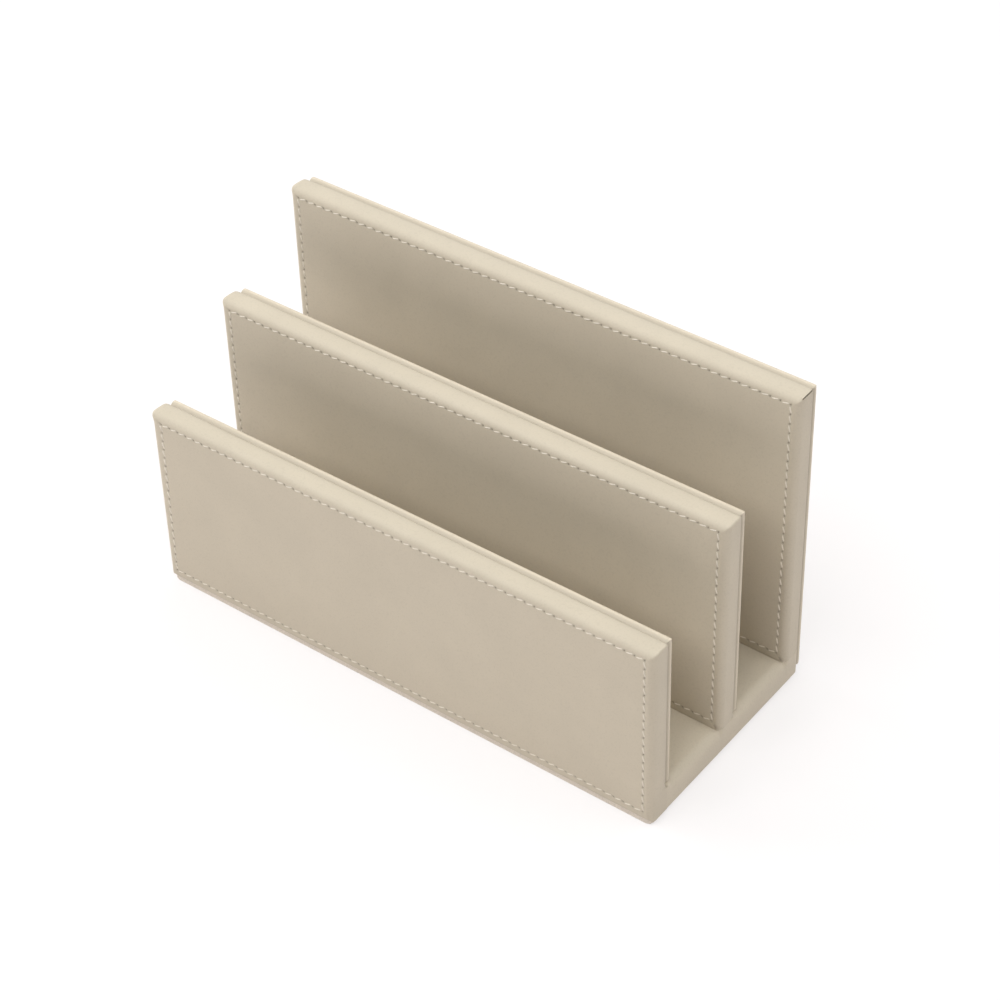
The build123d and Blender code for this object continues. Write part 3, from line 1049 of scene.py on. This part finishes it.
def surfaced(tree, shader, roughness, strength, depth, height):
    """Gives a shader its roughness and a fine relief."""
    tree.links.new(roughness, shader.inputs["Roughness"])
    relief = {"Strength": strength, "Distance": depth, "Height": height}
    bump = place(tree, "ShaderNodeBump", relief)
    tree.links.new(bump.outputs[0], shader.inputs["Normal"])


BEND_SCALE = 0.6
BEND_REACH = 0.5 * MM
FINE_SCALE = 2.2
FINE_SHARE = 0.35
PORE_BAND = (0.55, 0.85)


def build_grain(name):
    """Pebbled grain of a fine, smooth leather: cells with soft valleys and tiny pores."""
    tree, given, result = shader_group(
        name,
        (("Place", "NodeSocketVector", None), ("Cells per Metre", "NodeSocketFloat", 1300.0)),
        (("Height", "NodeSocketFloat"), ("Pores", "NodeSocketFloat")),
    )
    broad = math_node(tree, "MULTIPLY", given["Cells per Metre"], BEND_SCALE)
    narrow = math_node(tree, "MULTIPLY", given["Cells per Metre"], FINE_SCALE)
    bend = noise(tree, given["Place"], broad, 2.0)["Color"]
    offset = place(tree, "ShaderNodeVectorMath", {0: bend, "Scale": BEND_REACH}, operation="SCALE")
    bent = place(
        tree, "ShaderNodeVectorMath", {0: given["Place"], 1: offset.outputs[0]}, operation="ADD"
    )
    cells = place(
        tree,
        "ShaderNodeTexVoronoi",
        {"Vector": bent.outputs[0], "Scale": given["Cells per Metre"]},
        feature="F1",
    )
    fine = noise(tree, given["Place"], narrow, 3.0)["Fac"]
    domes = math_node(tree, "SUBTRACT", 1.0, cells.outputs["Distance"])
    height = math_node(tree, "MULTIPLY_ADD", fine, FINE_SHARE, domes)
    tree.links.new(height, result["Height"])
    tree.links.new(ranged(tree, cells.outputs["Distance"], (0.0, 1.0), PORE_BAND), result["Pores"])
    return tree


def build_mottle(name):
    """Cloudy tone: one half where the colour is as given, less where darker and more where lighter."""
    tree, given, result = shader_group(
        name,
        (("Place", "NodeSocketVector", None), ("Patches per Metre", "NodeSocketFloat", 40.0)),
        (("Tone", "NodeSocketFloat"),),
    )
    broad = noise(tree, given["Place"], given["Patches per Metre"], 5.0, 0.6)["Fac"]
    tree.links.new(broad, result["Tone"])
    return tree


def new_material(name):
    """Material with an empty tree; returns it with its tree, shader and object coordinates."""
    material = bpy.data.materials.new(name)
    material.use_nodes = True
    tree = material.node_tree
    tree.nodes.clear()
    shader = tree.nodes.new("ShaderNodeBsdfPrincipled")
    place(tree, "ShaderNodeOutputMaterial", {"Surface": shader.outputs[0]})
    return material, tree, shader, tree.nodes.new("ShaderNodeTexCoord").outputs["Object"]


def attribute(tree, name):
    """Value of a point mark of the mesh."""
    return place(tree, "ShaderNodeAttribute", attribute_name=name).outputs["Fac"]


def mix(tree, factor, first, second, blend="MIX"):
    """Blend of two colours."""
    node = place(tree, "ShaderNodeMix", data_type="RGBA", blend_type=blend)
    for socket, value in ((node.inputs[0], factor), (node.inputs[6], first), (node.inputs[7], second)):
        if isinstance(value, bpy.types.NodeSocket):
            tree.links.new(value, socket)
        else:
            socket.default_value = value
    return node.outputs[2]


def tint(rgb, factor):
    """Colour made darker or lighter, with full alpha."""
    return (*[min(1.0, c * factor) for c in rgb], 1.0)


PORE_SHARE = 0.12
PORE_TINT = 0.62
# Painted shade: creases and the slit darken towards the crease tint, needle holes and a gaping mitre towards
# the hole tint
CREASE_SHADE_TINT = 0.70
HOLE_SHADE_SHARE = 0.85
HOLE_SHADE_TINT = 0.20
GLOSS_SPREAD = 0.05
LEATHER_SPECULAR = 0.3
GRAIN_DEPTH = 0.12 * MM


def leather_material(name, rgb, finish):
    """Smooth semi-matte leather with fine grain, cloudy tone, and painted shade in creases and the slit, and
    in needle holes and a gaping mitre.
    """
    material, tree, shader, where = new_material(name)
    grain = grouped(tree, "Leather Grain", build_grain, where)
    grain.inputs["Cells per Metre"].default_value = 1 / finish.grain
    mottle = grouped(tree, "Cloudy Tone", build_mottle, where).outputs["Tone"]
    clouds = 2 * finish.mottle
    tone = mix(tree, mottle, tint(rgb, 1 - clouds), tint(rgb, 1 + clouds))
    pores = math_node(tree, "MULTIPLY", grain.outputs["Pores"], PORE_SHARE)
    pored = mix(tree, pores, tone, tint(rgb, PORE_TINT))
    # Painted shade in the seam's groove, the slit and a lining's slope, then in needle holes and a gaping
    # mitre
    crease_shaded = mix(tree, attribute(tree, "crease"), pored, tint(rgb, CREASE_SHADE_TINT))
    holes = math_node(tree, "MULTIPLY", attribute(tree, "needle"), HOLE_SHADE_SHARE)
    hole_shaded = mix(tree, holes, crease_shaded, tint(rgb, HOLE_SHADE_TINT))
    tree.links.new(hole_shaded, shader.inputs["Base Color"])
    shader.inputs["Specular IOR Level"].default_value = LEATHER_SPECULAR
    rough = ranged(tree, mottle, (finish.roughness - GLOSS_SPREAD, finish.roughness + GLOSS_SPREAD))
    surfaced(tree, shader, rough, finish.relief, GRAIN_DEPTH, grain.outputs["Height"])
    return material


THREAD_TURNS = 3.0
PLY_SHADE_TINTS = (0.80, 1.06)
PLY_ROUGHNESS = (0.62, 0.48)
PLY_RELIEF = 0.5
PLY_DEPTH = 0.1 * MM
FIBRES_PER_METRE = 6000.0
FIBRE_SHARE = 0.3
FIBRE_TINT = 0.88


def thread_material(finish):
    """Waxed two-ply thread, its plies wound round each other."""
    material, tree, shader, where = new_material("Waxed Thread")
    rgb = finish.thread
    round_axis = place(tree, "ShaderNodeAttribute", attribute_name="round")
    parts = place(tree, "ShaderNodeSeparateXYZ", {0: round_axis.outputs["Vector"]})
    phase = math_node(tree, "MULTIPLY", attribute(tree, "along"), THREAD_TURNS * 2 * math.pi)
    first = math_node(tree, "MULTIPLY", parts.outputs[0], math_node(tree, "COSINE", phase))
    ply = math_node(tree, "MULTIPLY_ADD", parts.outputs[1], math_node(tree, "SINE", phase), first)
    ridge = math_node(tree, "ABSOLUTE", ply)
    fibres = noise(tree, where, FIBRES_PER_METRE, 3.0)["Fac"]
    # Painted shade in the grooves between the plies, lighter on their crowns
    shade = mix(tree, ridge, *[tint(rgb, factor) for factor in PLY_SHADE_TINTS])
    fuzz = math_node(tree, "MULTIPLY", fibres, FIBRE_SHARE)
    fuzzy = mix(tree, fuzz, shade, tint(rgb, FIBRE_TINT))
    tree.links.new(fuzzy, shader.inputs["Base Color"])
    height = math_node(tree, "MULTIPLY_ADD", fibres, FIBRE_SHARE, ridge)
    surfaced(tree, shader, ranged(tree, ridge, PLY_ROUGHNESS), PLY_RELIEF, PLY_DEPTH, height)
    return material


SPECK_BAND = (0.3, 0.7)
SPECK_GLOSS_SPREAD = 0.08
SPECK_DEPTH = 0.2 * MM
CLOUD_SHARE = 0.25


def speckled_material(name, dark, light, scale, roughness, relief, stretch=(1.0, 1.0, 1.0)):
    """Material with two tones in fine specks or streaks: felt, foam, card, board, wood or wire."""
    material, tree, shader, where = new_material(name)
    turned = place(tree, "ShaderNodeMapping", {"Vector": where, "Scale": stretch})
    specks = noise(tree, turned.outputs[0], scale, 6.0, 0.7)["Fac"]
    mottle = grouped(tree, "Cloudy Tone", build_mottle, where).outputs["Tone"]
    spread = ranged(tree, specks, (0.0, 1.0), SPECK_BAND)
    tone = mix(tree, spread, (*dark, 1.0), (*light, 1.0))
    clouds = math_node(tree, "MULTIPLY", mottle, CLOUD_SHARE)
    cloudy = mix(tree, clouds, tone, (*dark, 1.0))
    tree.links.new(cloudy, shader.inputs["Base Color"])
    smoothest = roughness - SPECK_GLOSS_SPREAD
    roughest = min(1.0, roughness + SPECK_GLOSS_SPREAD)
    rough = ranged(tree, specks, (smoothest, roughest))
    surfaced(tree, shader, rough, relief, SPECK_DEPTH, specks)
    return material, shader


# Stage

FLOOR_SIZE = 8.0
SENSOR_WIDTH = 36.0
WHITE = (1.0, 1.0, 1.0, 1.0)

# Setting that holds its power, place and size of each softbox, in metres
SOFTBOXES = (
    ("left", (-2.15, -0.45, 1.15), 1.92),
    ("front", (0.0, -0.8, 1.4), 1.2),
    ("back", (-0.75, 0.95, 1.05), 1.2),
    ("right", (1.3, 0.0, 0.9), 1.2),
    ("high", (0.6, 0.7, 1.35), 1.2),
)


def softbox(name, watts, place_at, aim_at, size):
    """Square area lamp aimed at a point."""
    lamp = bpy.data.lights.new(name, "AREA")
    lamp.energy = watts
    lamp.size = size
    box = bpy.data.objects.new(name, lamp)
    box.location = place_at
    box.rotation_euler = (Vector(aim_at) - Vector(place_at)).to_track_quat("-Z", "Y").to_euler()
    bpy.context.scene.collection.objects.link(box)


def seen_directly(tree):
    """One on rays from the camera, in gloss and through glass, and zero on rays that light the object."""
    path = tree.nodes.new("ShaderNodeLightPath").outputs
    either = math_node(tree, "MAXIMUM", path["Is Camera Ray"], path["Is Glossy Ray"])
    return math_node(tree, "MAXIMUM", either, path["Is Transmission Ray"])


def floor_material(stage):
    """Pale floor that looks white and keeps a faint shadow."""
    material = bpy.data.materials.new("Studio Floor")
    material.use_nodes = True
    tree = material.node_tree
    tree.nodes.clear()
    paper = place(tree, "ShaderNodeBsdfDiffuse", {"Color": (*stage.floor, 1.0)})
    white = place(tree, "ShaderNodeEmission", {"Color": WHITE, "Strength": 1.0})
    glow = math_node(tree, "MULTIPLY", seen_directly(tree), 1 - stage.shadow)
    blend = place(tree, "ShaderNodeMixShader", {0: glow, 1: paper.outputs[0], 2: white.outputs[0]})
    place(tree, "ShaderNodeOutputMaterial", {"Surface": blend.outputs[0]})
    return material


def surroundings(stage):
    """White surroundings for the camera, with an even light for the object."""
    world = bpy.data.worlds.new("Studio")
    world.use_nodes = True
    tree = world.node_tree
    tree.nodes.clear()
    even = place(tree, "ShaderNodeBackground", {"Color": WHITE, "Strength": stage.ambient})
    white = place(tree, "ShaderNodeBackground", {"Color": WHITE, "Strength": 1.0})
    seen = seen_directly(tree)
    blend = place(tree, "ShaderNodeMixShader", {0: seen, 1: even.outputs[0], 2: white.outputs[0]})
    place(tree, "ShaderNodeOutputWorld", {"Surface": blend.outputs[0]})
    bpy.context.scene.world = world


def camera(stage):
    """Camera at the given turn, height and roll round its target."""
    azimuth, elevation = stage.azimuth, stage.elevation
    back = Vector(
        (
            math.sin(azimuth) * math.cos(elevation),
            -math.cos(azimuth) * math.cos(elevation),
            math.sin(elevation),
        )
    )
    right = Vector((0, 0, 1)).cross(back).normalized()
    up = back.cross(right)
    turned_right = math.cos(stage.roll) * right + math.sin(stage.roll) * up
    turned_up = back.cross(turned_right)
    lens = bpy.data.cameras.new("Camera")
    lens.lens = stage.focal_length
    lens.sensor_width = SENSOR_WIDTH
    eye = bpy.data.objects.new("Camera", lens)
    turn = Matrix((turned_right, turned_up, back)).transposed().to_4x4()
    eye.matrix_world = Matrix.Translation(Vector(stage.target) + back * stage.distance) @ turn
    bpy.context.scene.collection.objects.link(eye)
    bpy.context.scene.camera = eye


# Operators

FELT_TINTS = (0.75, 1.18)


class DividerCovers(bpy.types.Operator):
    """Folds the leather covers round the three dividers"""

    bl_idname = "letter_holder.divider_covers"
    bl_label = "Divider Covers"

    def execute(self, context):
        settings = context.scene.letter_holder
        material = leather_material("Divider Leather", settings.finish.leather, settings.finish)
        for name in DIVIDERS:
            divider_cover(name, settings, material)
        return {"FINISHED"}


class DividerStitching(bpy.types.Operator):
    """Sews the topstitching round the three dividers' fronts"""

    bl_idname = "letter_holder.divider_stitching"
    bl_label = "Topstitching"

    def execute(self, context):
        settings = context.scene.letter_holder
        material = thread_material(settings.finish)
        tree = stitch_tree()
        for name in DIVIDERS:
            divider_stitching(name, settings, tree, material)
        return {"FINISHED"}


class LiningCovers(bpy.types.Operator):
    """Folds the leather of the three linings round their cards"""

    bl_idname = "letter_holder.lining_covers"
    bl_label = "Lining Covers"

    def execute(self, context):
        settings = context.scene.letter_holder
        material = leather_material("Lining Leather", settings.finish.lining, settings.finish)
        for name in DIVIDERS:
            lining_cover(name, settings, material)
        return {"FINISHED"}


class BaseCover(bpy.types.Operator):
    """Lays the leather over the base"""

    bl_idname = "letter_holder.base_cover"
    bl_label = "Base Cover"

    def execute(self, context):
        settings = context.scene.letter_holder
        base_cover(settings, leather_material("Base Leather", settings.finish.base, settings.finish))
        return {"FINISHED"}


class UndersideCovering(bpy.types.Operator):
    """Folds the felt round the underside panel"""

    bl_idname = "letter_holder.underside"
    bl_label = "Underside"

    def execute(self, context):
        settings = context.scene.letter_holder
        rgb = settings.finish.felt
        dark, light = [tint(rgb, factor)[:3] for factor in FELT_TINTS]
        material, _ = speckled_material("Underside Felt", dark, light, 2600.0, 0.92, 0.6)
        underside_felt(settings, material)
        return {"FINISHED"}


class FoamSheets(bpy.types.Operator):
    """Lays the foam sheets under the stitched leather"""

    bl_idname = "letter_holder.foam_sheets"
    bl_label = "Foam Sheets"

    def execute(self, context):
        settings = context.scene.letter_holder
        material, _ = speckled_material(
            "Open-cell Foam", (0.62, 0.60, 0.55), (0.84, 0.82, 0.77), 1800.0, 0.9, 0.8
        )
        for name in DIVIDERS:
            foam_sheet(name, settings, material)
        return {"FINISHED"}


class CoreFinishes(bpy.types.Operator):
    """Gives boards, cards, brads and dowels their finish"""

    bl_idname = "letter_holder.core_finishes"
    bl_label = "Core Finishes"

    def execute(self, context):
        board, _ = speckled_material(
            "Fibreboard", (0.36, 0.25, 0.15), (0.56, 0.42, 0.27), 900.0, 0.8, 0.4
        )
        card, _ = speckled_material(
            "Greyboard", (0.38, 0.36, 0.33), (0.58, 0.56, 0.52), 1500.0, 0.88, 0.3
        )
        steel, wire = speckled_material(
            "Drawn Wire", (0.52, 0.52, 0.52), (0.70, 0.70, 0.69), 2500.0, 0.35, 0.15, (4.0, 4.0, 0.2)
        )
        wire.inputs["Metallic"].default_value = 1.0
        beech, _ = speckled_material(
            "Beech", (0.60, 0.42, 0.26), (0.78, 0.60, 0.40), 1400.0, 0.6, 0.25, (3.0, 0.15, 3.0)
        )
        finishes = {
            "base_board": board,
            "underside_card": card,
            "divider_brads": steel,
            "front_dowels": beech,
        }
        for name in DIVIDERS:
            finishes[f"{name}_board"] = board
            finishes[f"{name}_lining_card"] = card
        for node, material in finishes.items():
            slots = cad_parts[node].material_slots
            if not slots:
                raise RuntimeError(f"{node} has no material slot")
            for slot in slots:
                slot.material = material
        return {"FINISHED"}


class Stage(bpy.types.Operator):
    """Sets up floor, surroundings, lamps and camera"""

    bl_idname = "letter_holder.stage"
    bl_label = "Stage"

    def execute(self, context):
        stage = context.scene.letter_holder.stage
        context.scene.view_settings.view_transform = "Standard"
        half = FLOOR_SIZE / 2
        corners = [(-half, -half, 0), (half, -half, 0), (half, half, 0), (-half, half, 0)]
        mesh = bpy.data.meshes.new("floor")
        mesh.from_pydata(corners, [], [(0, 1, 2, 3)])
        mesh.materials.append(floor_material(stage))
        floor = bpy.data.objects.new("floor", mesh)
        context.scene.collection.objects.link(floor)
        surroundings(stage)
        aim = Vector(stage.target)
        for name, place_at, size in SOFTBOXES:
            softbox(f"{name.title()} Softbox", getattr(stage, name), place_at, aim, size)
        camera(stage)
        return {"FINISHED"}


OPERATORS = (
    DividerCovers,
    DividerStitching,
    LiningCovers,
    BaseCover,
    UndersideCovering,
    FoamSheets,
    CoreFinishes,
    Stage,
)


class LetterHolderPanel(bpy.types.Panel):
    """Lists the steps that dress the letter holder"""

    bl_idname = "VIEW3D_PT_letter_holder"
    bl_label = "Letter Holder"
    bl_space_type = "VIEW_3D"
    bl_region_type = "UI"
    bl_category = "Letter Holder"

    def draw(self, context):
        for operator in OPERATORS:
            self.layout.operator(operator.bl_idname)


SETTINGS = (FoldSettings, SeamSettings, FinishSettings, StageSettings, LetterHolderSettings)
CLASSES = (*SETTINGS, *OPERATORS, LetterHolderPanel)


def register():
    """Registers all classes and the scene's settings."""
    for made in CLASSES:
        bpy.utils.register_class(made)
    bpy.types.Scene.letter_holder = PointerProperty(type=LetterHolderSettings)


def unregister():
    """Takes back what register did."""
    del bpy.types.Scene.letter_holder
    for made in reversed(CLASSES):
        bpy.utils.unregister_class(made)


def main():
    """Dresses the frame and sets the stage."""
    register()
    bpy.ops.letter_holder.divider_covers()
    bpy.ops.letter_holder.divider_stitching()
    bpy.ops.letter_holder.lining_covers()
    bpy.ops.letter_holder.base_cover()
    bpy.ops.letter_holder.underside()
    bpy.ops.letter_holder.foam_sheets()
    bpy.ops.letter_holder.core_finishes()
    bpy.ops.letter_holder.stage()


if __name__ == "__main__":
    main()
